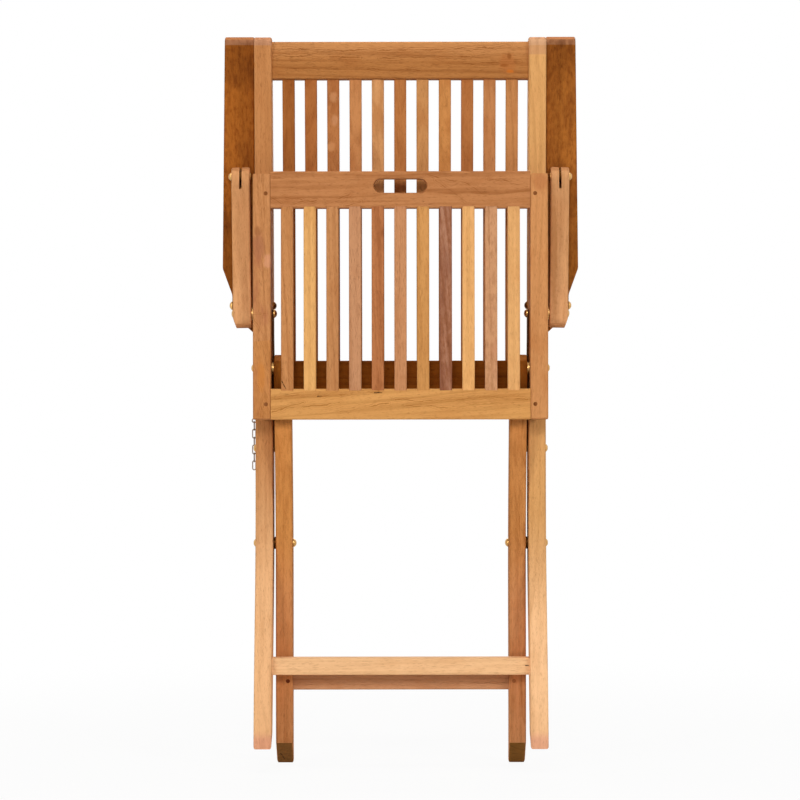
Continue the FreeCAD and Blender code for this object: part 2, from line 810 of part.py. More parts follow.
# Bolts, nuts, washers and sleeves that stay with the seat
def make_seat_hardware():
    nut_face = leg_inner - face_gap
    nut, thread_end = cap_nut(nut_face, thin_nut_height, seat_pivot_forward, leg_top_height)
    leg_bolt = bolt(frame_half_width, thread_end, seat_pivot_forward, leg_top_height)
    save("seat_leg_bolts", both_sides([leg_bolt, nut]))
    washer = ring((leg_outer + face_gap, frame_inner), washer_radius, bolt_radius,
                  seat_pivot_forward, leg_top_height)
    save("seat_leg_washers", both_sides([washer]))
    sleeve = ring((frame_inner, frame_half_width), sleeve_radius, sleeve_bore,
                  seat_pivot_forward, seat_link_height)
    save("seat_sleeves", both_sides([sleeve]))


eye_across = -(frame_half_width + face_gap + eye_ring_radius + eye_wire_radius)


def eye_shank():
    start = place(eye_across + eye_ring_radius, eye_forward, eye_height)
    length = eye_shank_length - eye_across - frame_half_width - eye_ring_radius
    return Part.makeCylinder(eye_wire_radius, length, start, FreeCAD.Vector(1, 0, 0))


def make_eye():
    centre = place(eye_across, eye_forward, eye_height)
    eye = Part.makeTorus(eye_ring_radius, eye_wire_radius, centre, FreeCAD.Vector(0, 1, 0))
    return eye.fuse(eye_shank()).removeSplitter()


# One oval chain link standing on edge, its centre at the origin, lying in the X-Z plane
def chain_link():
    bend = chain_link_width / 2 - chain_wire_radius
    half = chain_link_inner / 2 + chain_wire_radius - bend
    right = [FreeCAD.Vector(bend, 0, -half), FreeCAD.Vector(bend, 0, half)]
    left = [FreeCAD.Vector(-bend, 0, half), FreeCAD.Vector(-bend, 0, -half)]
    crown = FreeCAD.Vector(0, 0, half + bend)
    keel = FreeCAD.Vector(0, 0, -half - bend)
    path = Part.Wire([
        Part.makeLine(*right),
        Part.Arc(right[1], crown, left[0]).toShape(),
        Part.makeLine(*left),
        Part.Arc(left[1], keel, right[0]).toShape(),
    ])
    circle = Part.Wire(Part.makeCircle(chain_wire_radius, right[0], FreeCAD.Vector(0, 0, 1)))
    return path.makePipeShell([circle], True, False)


def make_chain():
    pitch = chain_link_inner - chain_link_slack
    first = eye_height - eye_ring_radius + eye_wire_radius + chain_link_slack - chain_link_inner / 2
    links = []
    for i in range(chain_link_count):
        link = chain_link()
        turn = 90 if i % 2 == 0 else 0
        link.rotate(FreeCAD.Vector(0, 0, 0), FreeCAD.Vector(0, 0, 1), turn)
        link.translate(place(eye_across, eye_forward, first - i * pitch))
        links.append(link)
    return Part.makeCompound(links)


os.makedirs("parts", exist_ok=True)
make_back_frame()
make_leg_frame()
make_seat()
make_arms()
make_struts()
make_links()
make_frame_hardware()
make_seat_hardware()
save("chain_eye", make_eye())
save("lock_chain", make_chain())
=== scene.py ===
import bpy
import math
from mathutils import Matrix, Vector


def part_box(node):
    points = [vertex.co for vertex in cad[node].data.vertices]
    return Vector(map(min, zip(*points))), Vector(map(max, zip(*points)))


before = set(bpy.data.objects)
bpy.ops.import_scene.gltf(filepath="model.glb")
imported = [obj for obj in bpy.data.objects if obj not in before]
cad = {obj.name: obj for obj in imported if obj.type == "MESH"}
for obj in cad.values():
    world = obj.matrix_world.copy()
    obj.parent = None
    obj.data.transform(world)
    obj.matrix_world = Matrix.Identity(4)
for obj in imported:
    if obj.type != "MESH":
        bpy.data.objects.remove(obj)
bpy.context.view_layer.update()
print("frame loaded:", len(cad), "pieces of the folded armchair")


def paint(red, green, blue):  # 0 to 255 as a paint chart gives it
    def linear(value):
        value /= 255
        return value / 12.92 if value <= 0.04045 else ((value + 0.055) / 1.055) ** 2.4
    return (linear(red), linear(green), linear(blue), 1.0)


def shaded(colour, factors):
    return tuple(part * factor for part, factor in zip(colour, factors)) + (1.0,)


def mm(point):  # metres across and up the chair, as millimetres in its frame
    return (point[0] * 1000, 0, point[1] * 1000)


def plug(tree, value, socket):
    if isinstance(value, bpy.types.NodeSocket):
        tree.links.new(value, socket)
    elif value is not None:
        socket.default_value = value


def maths(tree, operation, first, second=None, third=None, clamp=False):
    node = tree.nodes.new("ShaderNodeMath")
    node.operation = operation
    node.use_clamp = clamp
    for socket, value in zip(node.inputs, (first, second, third)):
        plug(tree, value, socket)
    return node.outputs[0]


def vectorMaths(tree, operation, first, second=None, scale=None):
    node = tree.nodes.new("ShaderNodeVectorMath")
    node.operation = operation
    plug(tree, first, node.inputs[0])
    plug(tree, second, node.inputs[1])
    if scale is not None:
        plug(tree, scale, node.inputs["Scale"])
    return node.outputs["Value" if operation in ("LENGTH", "DOT_PRODUCT") else "Vector"]


def split(tree, vector):
    node = tree.nodes.new("ShaderNodeSeparateXYZ")
    plug(tree, vector, node.inputs[0])
    return node.outputs


def oneWay(tree, axis, value):  # a vector along a single axis
    node = tree.nodes.new("ShaderNodeCombineXYZ")
    plug(tree, value, node.inputs[axis])
    return node.outputs[0]


def noise(tree, place, stretch, detail=2.0, roughness=0.5, colour=False):
    squeezed = vectorMaths(tree, "MULTIPLY", place, tuple(1 / size for size in stretch))
    node = tree.nodes.new("ShaderNodeTexNoise")
    tree.links.new(squeezed, node.inputs["Vector"])
    node.inputs["Scale"].default_value = 1.0
    node.inputs["Detail"].default_value = detail
    node.inputs["Roughness"].default_value = roughness
    return node.outputs["Color" if colour else "Fac"]


def centred(tree, value):  # noise lies round a half, this lies round zero
    return maths(tree, "SUBTRACT", value, 0.5)


def ramp(tree, value, low, high, outLow=0.0, outHigh=1.0):
    node = tree.nodes.new("ShaderNodeMapRange")
    node.interpolation_type = "SMOOTHSTEP"
    for name, number in (("Value", value), ("From Min", low), ("From Max", high),
                         ("To Min", outLow), ("To Max", outHigh)):
        plug(tree, number, node.inputs[name])
    return node.outputs["Result"]


def blend(tree, factor, first, second, mode="MIX"):
    node = tree.nodes.new("ShaderNodeMix")
    node.data_type = "RGBA"
    node.blend_type = mode
    plug(tree, factor, node.inputs["Factor"])
    plug(tree, first, node.inputs[6])  # the two colours of a mix node in colour mode
    plug(tree, second, node.inputs[7])
    return node.outputs[2]


def newGroup(name, inputs, outputs):
    tree = bpy.data.node_groups.new(name, "ShaderNodeTree")
    for label, kind, value in inputs:
        socket = tree.interface.new_socket(label, in_out="INPUT", socket_type="NodeSocket" + kind)
        if value is not None:
            socket.default_value = value
    for label, kind in outputs:
        tree.interface.new_socket(label, in_out="OUTPUT", socket_type="NodeSocket" + kind)
    given = tree.nodes.new("NodeGroupInput").outputs
    return tree, given, tree.nodes.new("NodeGroupOutput").inputs


def useGroup(tree, group, values):
    node = tree.nodes.new("ShaderNodeGroup")
    node.node_tree = group
    for label, value in values.items():
        plug(tree, value, node.inputs[label])
    return node.outputs


def newMaterial(name):
    material = bpy.data.materials.new(name)
    material.use_nodes = True
    tree = material.node_tree
    return material, tree, tree.nodes["Principled BSDF"]


def bump(tree, height, depth, shader):
    node = tree.nodes.new("ShaderNodeBump")
    node.inputs["Distance"].default_value = depth
    node.inputs["Strength"].default_value = 1.0
    tree.links.new(height, node.inputs["Height"])
    tree.links.new(node.outputs["Normal"], shader.inputs["Normal"])


def dress(node, material):
    slots = cad[node].material_slots
    for slot in slots:
        slot.material = material
    if not slots:
        cad[node].data.materials.append(material)


# Growth rings, fibre streaks, mottling and pores of one board; Place is in mm, the grain along Z
figure = {
    "boardStep": (131.0, 57.0, 293.0),  # mm that one step of the seed moves a board in the pattern
    "swirl": (14, 14, 13),  # sizes of the noises in mm, the last one along the grain
    "drift": (60, 60, 320),
    "ripple": (12, 12, 90),
    "broken": (9, 9, 80),
    "band": (5.5, 5.5, 260),
    "streak": (1.9, 1.9, 130),
    "blotch": (24, 24, 60),
    "mottle": (5.5, 5.5, 11),
    "pore": (0.55, 0.55, 8.0),
    "lateWood": (0.4, 0.92),  # a ring darkens from the first share of its width to the second
    "palestYear": 0.15,  # depth of the faintest ring
    "brokenRange": (0.3, 0.62, 0.35),  # noise below the first is faded to the third
    "poreRange": (0.6, 0.74),
}
teakFigure, given, give = newGroup(
    "teak figure",
    [("Place", "Vector", None), ("Pith", "Vector", (60, 30, 0)), ("Seed", "Float", 0.0),
     ("Ring Gap", "Float", 5.0), ("Sway", "Float", 8.0), ("Wavy", "Float", 2.0),
     ("Curl", "Float", 0.0), ("Bend", "Float", 0.0)],
    [("Ring", "Float"), ("Band", "Float"), ("Streak", "Float"), ("Blotch", "Float"),
     ("Mottle", "Float"), ("Pore", "Float")])
tree = teakFigure
apart = vectorMaths(tree, "SCALE", figure["boardStep"], scale=given["Seed"])
seeded = vectorMaths(tree, "ADD", given["Place"], apart)
swirl = centred(tree, noise(tree, seeded, figure["swirl"]))
curled = oneWay(tree, "X", maths(tree, "MULTIPLY", swirl, given["Curl"]))
seeded = vectorMaths(tree, "ADD", seeded, curled)
flat = vectorMaths(tree, "SUBTRACT", given["Place"], given["Pith"])
flat = vectorMaths(tree, "MULTIPLY", flat, (1.0, 1.0, 0.0))
radius = vectorMaths(tree, "LENGTH", flat)
drift = centred(tree, noise(tree, seeded, figure["drift"]))
ripple = centred(tree, noise(tree, seeded, figure["ripple"]))
wander = maths(tree, "MULTIPLY", ripple, given["Wavy"])
wander = maths(tree, "MULTIPLY_ADD", drift, given["Sway"], wander)
swept = maths(tree, "MULTIPLY_ADD", swirl, given["Curl"], given["Bend"])
wander = maths(tree, "ADD", wander, swept)
turns = maths(tree, "DIVIDE", maths(tree, "ADD", radius, wander), given["Ring Gap"])
part = maths(tree, "FRACT", turns)
darkening, darkest = figure["lateWood"]
late = ramp(tree, part, darkening, darkest)
late = maths(tree, "MULTIPLY", late, ramp(tree, part, 1.0, darkest))
year = tree.nodes.new("ShaderNodeTexWhiteNoise")  # some years grow darker rings than others
year.noise_dimensions = "1D"
plug(tree, maths(tree, "ADD", maths(tree, "FLOOR", turns), given["Seed"]), year.inputs["W"])
palest = figure["palestYear"]
strength = maths(tree, "MULTIPLY_ADD", year.outputs["Value"], 1 - palest, palest)
broken = noise(tree, seeded, figure["broken"])  # a ring fades and comes back along the board
strength = maths(tree, "MULTIPLY", strength, ramp(tree, broken, *figure["brokenRange"]))
plug(tree, maths(tree, "MULTIPLY", late, strength), give["Ring"])
plug(tree, noise(tree, seeded, figure["band"]), give["Band"])
plug(tree, noise(tree, seeded, figure["streak"], 3.0, 0.55), give["Streak"])
plug(tree, noise(tree, seeded, figure["blotch"], 3.0, 0.6), give["Blotch"])
plug(tree, noise(tree, seeded, figure["mottle"], 3.0, 0.65), give["Mottle"])
pores = noise(tree, seeded, figure["pore"], 1.0)
plug(tree, ramp(tree, pores, *figure["poreRange"]), give["Pore"])

# The figure turned into the finish of one oiled board, with its sawn ends
oiled = {
    "bands": 1.8, "fibres": 0.35, "rings": 0.6, "mottles": 1.6,  # their shares in the stripes
    "deepFrom": 0.02, "paleFrom": 0.12,  # added before stripes turn deep, and before they turn pale
    "patchRange": (-0.02, 0.22),
    "poreDepth": 0.4, "poreTone": (0.55, 0.42, 0.3, 1.0),
    "sawnFacing": (0.45, 0.66),  # from here a face points along the grain enough to be sawn
    "speckle": (1.2, 1.2, 1.2), "sawLines": (14, 1.1, 14),  # mm
    "sawnTone": 0.4, "sawnSpeckle": 0.5, "sawnLines": 0.8, "sawnRings": -0.25,
    "roughness": 0.64, "roughFibres": 0.2, "roughPores": 0.15, "roughEnds": 0.2,
    "poreHeight": -0.8, "ringHeight": 0.25, "speckleHeight": 1.2,
}
teakSurface, given, give = newGroup(
    "teak surface",
    [("Place", "Vector", None), ("Facing", "Vector", (0, 1, 0)), ("Pith", "Vector", (60, 30, 0)),
     ("Seed", "Float", 0.0), ("Ring Gap", "Float", 5.0), ("Sway", "Float", 8.0),
     ("Wavy", "Float", 2.0), ("Curl", "Float", 0.0), ("Bend", "Float", 0.0),
     ("Tone", "Color", (0.5, 0.25, 0.1, 1)), ("Deep Tone", "Color", (0.3, 0.1, 0.04, 1)),
     ("Pale Tone", "Color", (0.6, 0.35, 0.15, 1)), ("Patch Tone", "Color", (0.4, 0.17, 0.08, 1)),
     ("End Tone", "Color", (0.3, 0.12, 0.04, 1)), ("Contrast", "Float", 1.0),
     ("Patchy", "Float", 0.5), ("Mottled", "Float", 0.3)],
    [("Color", "Color"), ("Roughness", "Float"), ("Height", "Float")])
tree = teakSurface
figureInputs = ("Place", "Pith", "Seed", "Ring Gap", "Sway", "Wavy", "Curl", "Bend")
look = useGroup(tree, teakFigure, {label: given[label] for label in figureInputs})
bands = centred(tree, look["Band"])
fibres = centred(tree, look["Streak"])
patches = centred(tree, look["Blotch"])
mottles = centred(tree, look["Mottle"])
stripe = maths(tree, "MULTIPLY", fibres, oiled["fibres"])
stripe = maths(tree, "MULTIPLY_ADD", bands, oiled["bands"], stripe)
stripe = maths(tree, "MULTIPLY_ADD", look["Ring"], oiled["rings"], stripe)
stripe = maths(tree, "MULTIPLY", stripe, given["Contrast"])
mottles = maths(tree, "MULTIPLY", mottles, given["Mottled"])
stripe = maths(tree, "MULTIPLY_ADD", mottles, oiled["mottles"], stripe)
deeper = maths(tree, "ADD", stripe, oiled["deepFrom"], clamp=True)
paler = maths(tree, "MULTIPLY_ADD", stripe, -1.0, oiled["paleFrom"], clamp=True)
along = blend(tree, deeper, given["Tone"], given["Deep Tone"])
along = blend(tree, paler, along, given["Pale Tone"])
patch = ramp(tree, patches, *oiled["patchRange"])
patch = maths(tree, "MULTIPLY", patch, given["Patchy"], clamp=True)
along = blend(tree, patch, along, given["Patch Tone"])
pores = maths(tree, "MULTIPLY", look["Pore"], oiled["poreDepth"])
along = blend(tree, pores, along, oiled["poreTone"], "MULTIPLY")
facingAlong = maths(tree, "ABSOLUTE", split(tree, given["Facing"])["Z"])
sawn = ramp(tree, facingAlong, *oiled["sawnFacing"])
speckle = noise(tree, given["Place"], oiled["speckle"], 3.0, 0.7)
lines = noise(tree, given["Place"], oiled["sawLines"], 2.0, 0.6)
ringed = maths(tree, "MULTIPLY_ADD", speckle, oiled["sawnSpeckle"], oiled["sawnTone"])
ringed = maths(tree, "MULTIPLY_ADD", look["Ring"], oiled["sawnRings"], ringed)
ringed = maths(tree, "MULTIPLY_ADD", lines, oiled["sawnLines"], ringed)
endGrain = vectorMaths(tree, "SCALE", given["End Tone"], scale=ringed)
plug(tree, blend(tree, sawn, along, endGrain), give["Color"])
sheen = maths(tree, "MULTIPLY_ADD", look["Pore"], oiled["roughPores"], oiled["roughness"])
sheen = maths(tree, "MULTIPLY_ADD", fibres, oiled["roughFibres"], sheen)
plug(tree, maths(tree, "MULTIPLY_ADD", sawn, oiled["roughEnds"], sheen), give["Roughness"])
grainHeight = maths(tree, "MULTIPLY_ADD", look["Pore"], oiled["poreHeight"], look["Streak"])
grainHeight = maths(tree, "MULTIPLY_ADD", look["Ring"], oiled["ringHeight"], grainHeight)
sawnHeight = maths(tree, "MULTIPLY", sawn, oiled["speckleHeight"])
plug(tree, maths(tree, "MULTIPLY_ADD", speckle, sawnHeight, grainHeight), give["Height"])

# A fine drying crack or a dark grain line between two points, in mm
crackShape = {
    "wobbleSize": (4, 4, 4), "wobble": 2.4,  # mm
    "thinning": -0.6,  # share of the width that is lost on the way to the far end
    "softEdge": 1.6,  # the dark fades out over this many widths
}
hairCrack, given, give = newGroup(
    "hair crack",
    [("Place", "Vector", None), ("From", "Vector", None), ("To", "Vector", None),
     ("Width", "Float", 0.5)],
    [("Crack", "Float"), ("Away", "Float")])
tree = hairCrack
shaken = noise(tree, given["Place"], crackShape["wobbleSize"], colour=True)
shaken = vectorMaths(tree, "SUBTRACT", shaken, (0.5, 0.5, 0.5))
shaken = vectorMaths(tree, "SCALE", shaken, scale=crackShape["wobble"])
shaken = vectorMaths(tree, "ADD", given["Place"], shaken)
spot = vectorMaths(tree, "SUBTRACT", shaken, given["From"])
reach = vectorMaths(tree, "SUBTRACT", given["To"], given["From"])
share = maths(tree, "DIVIDE", vectorMaths(tree, "DOT_PRODUCT", spot, reach),
              vectorMaths(tree, "DOT_PRODUCT", reach, reach), clamp=True)
nearest = vectorMaths(tree, "SCALE", reach, scale=share)
away = vectorMaths(tree, "LENGTH", vectorMaths(tree, "SUBTRACT", spot, nearest))
taper = maths(tree, "MULTIPLY_ADD", share, crackShape["thinning"], 1.0)
taper = maths(tree, "MULTIPLY", given["Width"], taper)
outer = maths(tree, "MULTIPLY", taper, crackShape["softEdge"])
plug(tree, ramp(tree, away, outer, taper), give["Crack"])
plug(tree, away, give["Away"])

# A soft oval spot in a board: a knot, a flame, a stain, and on the top rail a painted highlight.
# Bend pushes the rings aside round it
spotShape = {
    "raggedSize": (7, 7, 7), "ragged": 0.9,  # mm, and how far the noise moves the edge
    "edge": (1.15, 0.45),  # it fades in from the first share of its size to the second
    "pushReach": 1.7,
}
timberSpot, given, give = newGroup(
    "timber spot",
    [("Place", "Vector", None), ("Middle", "Vector", None), ("Size", "Vector", (10, 10, 10)),
     ("Push", "Float", 0.0)],
    [("Spot", "Float"), ("Bend", "Float")])
tree = timberSpot
offset = vectorMaths(tree, "SUBTRACT", given["Place"], given["Middle"])
offset = vectorMaths(tree, "LENGTH", vectorMaths(tree, "DIVIDE", offset, given["Size"]))
ragged = noise(tree, given["Place"], spotShape["raggedSize"], 3.0, 0.6)
evened = maths(tree, "SUBTRACT", offset, spotShape["ragged"] / 2)
reach = maths(tree, "MULTIPLY_ADD", ragged, spotShape["ragged"], evened)
plug(tree, ramp(tree, reach, *spotShape["edge"]), give["Spot"])
pushed = ramp(tree, offset, spotShape["pushReach"], 0.0)
plug(tree, maths(tree, "MULTIPLY", pushed, given["Push"]), give["Bend"])
print("teak pattern groups built")

plainBoard = {  # what a board is like where its own entry says nothing else
    "slope": 0.0,  # degrees that the grain runs out of the board's length
    "bent": 1.0,  # under 1, the grain follows the board's bend
    "ringGap": 5.0, "sway": 9.0, "wavy": 2.0, "curl": 0.0,  # mm
    "contrast": 1.0, "patchy": 0.5, "mottled": 0.3,
    "shifts": (),  # the tone changes between two heights: start, stop, paint; partly the wood's own tone, partly painted shade and painted highlight
    "spots": (),  # place, size in mm, push on the rings in mm, paint
    "veins": (), "veinPitch": 2.3, "veinDepth": 0.6,  # grain lines: from, to; mm to their echoes
    "cracks": (),  # from, to, width in mm
}
sideTones = (  # a board's other tones, as factors of its main one
    ("Deep Tone", "deepTone", (0.60, 0.47, 0.34)),
    ("Pale Tone", "paleTone", (1.16, 1.20, 1.24)),
    ("Patch Tone", "patchTone", (0.84, 0.72, 0.62)),
    ("End Tone", "endTone", (0.82, 0.74, 0.70)),
)
timber = {
    "pithTurn": 2.4, "pithStep": 1.7,  # radians per step of the seed
    "pithMiddle": 45, "pithSpread": 25,  # mm from the board's middle to the log's
    "topEndRise": (0.1, 0.3),  # metres; above it the sawn ends have the top's tone
    "jointSeed": 7.3,
    "spotDepth": 50,  # mm into the board
    "spotStrength": 0.7,
    "veinSwaySize": (24, 24, 24), "veinSway": 9.0,  # mm
    "veinReach": 30.0,
    "veinLine": (1.3, 0.1),  # mm from its middle over which a line darkens
    "echoWave": (0.1, 1.0), "echoReach": (9.0, 1.0), "echoDepth": 0.6,
    "veinGapSize": (3.5, 3.5, 26), "veinGaps": (0.36, 0.6, 0.15),
    "veinHeight": -0.25,
    "crackTone": (0.03, 0.013, 0.006, 1.0), "crackHeight": -2.0,
    "refraction": 1.45, "specular": 0.05,  # oiled and dull
    "relief": 0.0003,
}


def teak(node, entry, grain="Z"):  # one material for one board of the chair
    board = {**plainBoard, **entry}
    low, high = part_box(node)
    middle = (low + high) / 2
    material, tree, shader = newMaterial(node + " teak")
    coords = tree.nodes.new("ShaderNodeTexCoord")
    spot = vectorMaths(tree, "SCALE", coords.outputs["Object"], scale=1000.0)  # mm
    flat = vectorMaths(tree, "MULTIPLY", spot, (1.0, 0.0, 1.0))
    place = vectorMaths(tree, "SUBTRACT", spot, tuple(middle * 1000))
    place = vectorMaths(tree, "MULTIPLY", place, (1.0, board["bent"], 1.0))
    rise = split(tree, coords.outputs["Object"])
    seed, slope = board["seed"], math.radians(board["slope"])
    tone = paint(*board["tone"])
    tones = {"Tone": tone}
    for label, key, factors in sideTones:
        tones[label] = paint(*board[key]) if key in board else shaded(tone, factors)
    veinTone = tones["Deep Tone"]

    def toned(share, towards):
        change = tuple(new / old for new, old in zip(paint(*towards)[:3], tone))
        for label in ("Tone", "Deep Tone", "Pale Tone", "Patch Tone"):
            changed = blend(tree, 1.0, tones[label], shaded((1, 1, 1), change), "MULTIPLY")
            tones[label] = blend(tree, share, tones[label], changed)

    for start, stop, towards in board["shifts"]:
        toned(ramp(tree, rise["Z"], start, stop), towards)
    if "topEnd" in board:  # the sawn tops are paler than the feet
        share = ramp(tree, rise["Z"], *timber["topEndRise"])
        tones["End Tone"] = blend(tree, share, tones["End Tone"], paint(*board["topEnd"]))
    if "joint" in board:  # a second length of timber is glued on below this height
        height, tilt, lowerTone, lowerSlope = board["joint"]
        level = maths(tree, "MULTIPLY_ADD", rise["X"], tilt, rise["Z"])
        lower = maths(tree, "LESS_THAN", level, height)
        toned(lower, lowerTone)
        seed = maths(tree, "MULTIPLY_ADD", lower, timber["jointSeed"], seed)
        turn = math.radians(lowerSlope) - slope
        slope = maths(tree, "MULTIPLY_ADD", lower, turn, slope)

    quarter = math.pi / 2 if grain == "X" else 0.0  # rails lie across the chair
    turned = []
    for vector, angle in ((place, maths(tree, "ADD", slope, quarter)),
                          (coords.outputs["Normal"], quarter)):
        turn = tree.nodes.new("ShaderNodeVectorRotate")
        turn.rotation_type = "Y_AXIS"
        plug(tree, angle, turn.inputs["Angle"])
        plug(tree, vector, turn.inputs["Vector"])
        turned.append(turn.outputs["Vector"])
    place, facing = turned
    pithSwing = timber["pithSpread"] * math.sin(board["seed"] * timber["pithStep"])
    distance = board.get("pithDistance", timber["pithMiddle"] + pithSwing)
    angle = board.get("pithAngle", board["seed"] * timber["pithTurn"])
    bend = 0.0
    spots = []
    for centre, (width, height), push, tint in board["spots"]:
        group = useGroup(tree, timberSpot, {
            "Place": flat, "Middle": mm(centre), "Size": (width, timber["spotDepth"], height),
            "Push": push})
        bend = maths(tree, "ADD", group["Bend"], bend)
        spots.append((group["Spot"], paint(*tint)))
    finish = useGroup(tree, teakSurface, {
        "Place": place, "Facing": facing, "Seed": seed, "Ring Gap": board["ringGap"],
        "Pith": (distance * math.cos(angle), distance * math.sin(angle), 0.0), "Bend": bend,
        "Sway": board["sway"], "Wavy": board["wavy"], "Curl": board["curl"],
        "Contrast": board["contrast"], "Patchy": board["patchy"], "Mottled": board["mottled"],
        **tones})
    colour, height = finish["Color"], finish["Height"]
    for mask, tint in spots:
        mask = maths(tree, "MULTIPLY", mask, timber["spotStrength"])
        colour = blend(tree, mask, colour, tint)

    if board["veins"]:  # grain lines drawn where the board has them, with fainter ones beside
        sway = centred(tree, noise(tree, flat, timber["veinSwaySize"]))
        sway = maths(tree, "MULTIPLY", sway, timber["veinSway"])
        shift = oneWay(tree, "Z" if grain == "X" else "X", sway)
        bent = vectorMaths(tree, "ADD", flat, shift)
        away = timber["veinReach"]
        for start, stop in board["veins"]:
            line = useGroup(tree, hairCrack, {"Place": bent, "From": mm(start), "To": mm(stop)})
            away = maths(tree, "MINIMUM", line["Away"], away)
        wave = maths(tree, "COSINE", maths(tree, "MULTIPLY", away, board["veinPitch"]))
        beside = ramp(tree, away, *timber["echoReach"], 0.0, timber["echoDepth"])
        beside = maths(tree, "MULTIPLY", ramp(tree, wave, *timber["echoWave"]), beside)
        mask = maths(tree, "MAXIMUM", ramp(tree, away, *timber["veinLine"]), beside)
        gaps = noise(tree, place, timber["veinGapSize"])
        mask = maths(tree, "MULTIPLY", mask, ramp(tree, gaps, *timber["veinGaps"]))
        darkened = maths(tree, "MULTIPLY", mask, board["veinDepth"])
        colour = blend(tree, darkened, colour, veinTone)
        height = maths(tree, "MULTIPLY_ADD", mask, timber["veinHeight"], height)
    for start, stop, width in board["cracks"]:
        crack = useGroup(tree, hairCrack, {"Place": flat, "From": mm(start), "To": mm(stop),
                                           "Width": width})
        colour = blend(tree, crack["Crack"], colour, timber["crackTone"])
        height = maths(tree, "MULTIPLY_ADD", crack["Crack"], timber["crackHeight"], height)

    plug(tree, colour, shader.inputs["Base Color"])
    plug(tree, finish["Roughness"], shader.inputs["Roughness"])
    shader.inputs["IOR"].default_value = timber["refraction"]
    shader.inputs["Specular IOR Level"].default_value = timber["specular"]
    bump(tree, height, timber["relief"], shader)
    dress(node, material)


def teakBoards(boards, grain="Z"):
    for node, board in boards.items():
        teak(node, board, grain)


def teakSlats(name, slats):  # eleven alike, save for what their own entries say
    for i, (tone, slope) in enumerate(zip(slats["tones"], slats["slopes"])):
        own = dict(tone=tone, slope=slope, seed=slats["firstSeed"] + slats["seedStep"] * i)
        teak(name + "_%02d" % (i + 1), {**slats["all"], **own, **slats["own"].get(i + 1, {})})


backSlats = {
    "tones": [(162, 97, 46), (173, 105, 54), (183, 117, 67), (198, 133, 81), (208, 148, 94),
              (185, 118, 65), (198, 138, 83), (203, 137, 76), (180, 113, 62), (193, 129, 79),
              (194, 131, 78)],
    "slopes": [1, -2, 4, -1, 2, 1, -3, 3, -2, 1, -3],
    "firstSeed": 3.1, "seedStep": 1.37,
    "all": dict(contrast=0.7, patchy=0.7, ringGap=7.0),
    "own": {
        3: dict(mottled=0.9, patchy=0.6, spots=[
            ((-0.0985, 0.9900), (7, 9), 0.0, (204, 142, 94)),
            ((-0.0970, 0.9560), (6, 10), 0.0, (204, 142, 96)),
            ((-0.1025, 0.9175), (7, 8), 0.0, (208, 144, 92))]),
        5: dict(contrast=1.1),
        8: dict(curl=14.0),  # curly figure near the top
    },
}
teakSlats("back_slat", backSlats)

# the paler bands near each stile's top are partly the sawn end on its rounded top and partly
# painted highlight where the light from above falls on it
backStiles = {
    "back_stile_left": dict(
        tone=(194, 131, 78), seed=21.3, bent=0.35, sway=12.0, patchy=0.3, contrast=0.45,
        mottled=0.2, endTone=(200, 136, 96),
        shifts=[(0.53, 0.21, (240, 184, 131)), (1.0630, 1.0645, (190, 136, 100)),
                (0.062, 0.046, (184, 115, 74))],
        spots=[((-0.2165, 1.035), (4, 5), 0.0, (176, 104, 44))]),
    "back_stile_right": dict(
        tone=(218, 161, 99), seed=34.9, bent=0.35, sway=10.0, patchy=0.2, contrast=0.45,
        mottled=0.2, endTone=(210, 152, 110),
        shifts=[(0.40, 0.16, (250, 197, 145)), (1.0490, 1.0515, (205, 149, 100)),
                (1.0630, 1.0645, (221, 171, 117)), (0.062, 0.046, (207, 142, 94))]),
}
teakBoards(backStiles)
backRails = {
    "back_top_rail": dict(
        tone=(174, 113, 60), shifts=[(1.035, 1.066, (195, 133, 79))], seed=5.6,
        ringGap=10.0, sway=16.0, wavy=1.2, contrast=0.85, slope=-1.0,
        pithAngle=0.35, pithDistance=70, patchy=0.5, mottled=0.15, veinDepth=0.9, veinPitch=1.9,
        veins=[((-0.1705, 1.0602), (-0.0892, 1.0573)), ((-0.0892, 1.0573), (0.0437, 1.0580)),
               ((0.0437, 1.0580), (0.1619, 1.0632)), ((-0.1853, 1.0499), (-0.0597, 1.0462)),
               ((-0.0301, 1.0454), (0.1028, 1.0484)), ((-0.1631, 1.0307), (0.0290, 1.0277)),
               ((0.0733, 1.0366), (0.1767, 1.0410))],
        # the first spot is a pale band along the rail's rounded top edge: painted highlight from
        # the light above
        spots=[((0.0, 1.0665), (178, 6), 0.0, (203, 139, 82)),
               ((0.1580, 1.0380), (15, 17), 3.0, (176, 106, 54)),
               ((0.1605, 1.0485), (4, 5), 0.0, (132, 72, 28)),
               ((0.1530, 1.0350), (7, 3), 0.0, (146, 80, 32)),
               ((0.1625, 1.0260), (6, 3), 0.0, (206, 110, 32))]),
    # the low back rail's tone is painted dark: painted shade, standing for the shade it lies in
    # behind the folded seat
    "back_low_rail": dict(tone=(136, 74, 17), seed=8.2, ringGap=6.0, wavy=1.0),
    "front_stretcher": dict(
        tone=(246, 195, 143), seed=11.7, contrast=0.5, slope=0.8, patchy=0.3, mottled=0.1,
        deepTone=(216, 156, 104), cracks=[((0.1830, 0.1530), (0.1872, 0.1527), 0.5)]),
}
teakBoards(backRails, grain="X")
print("back frame dressed")
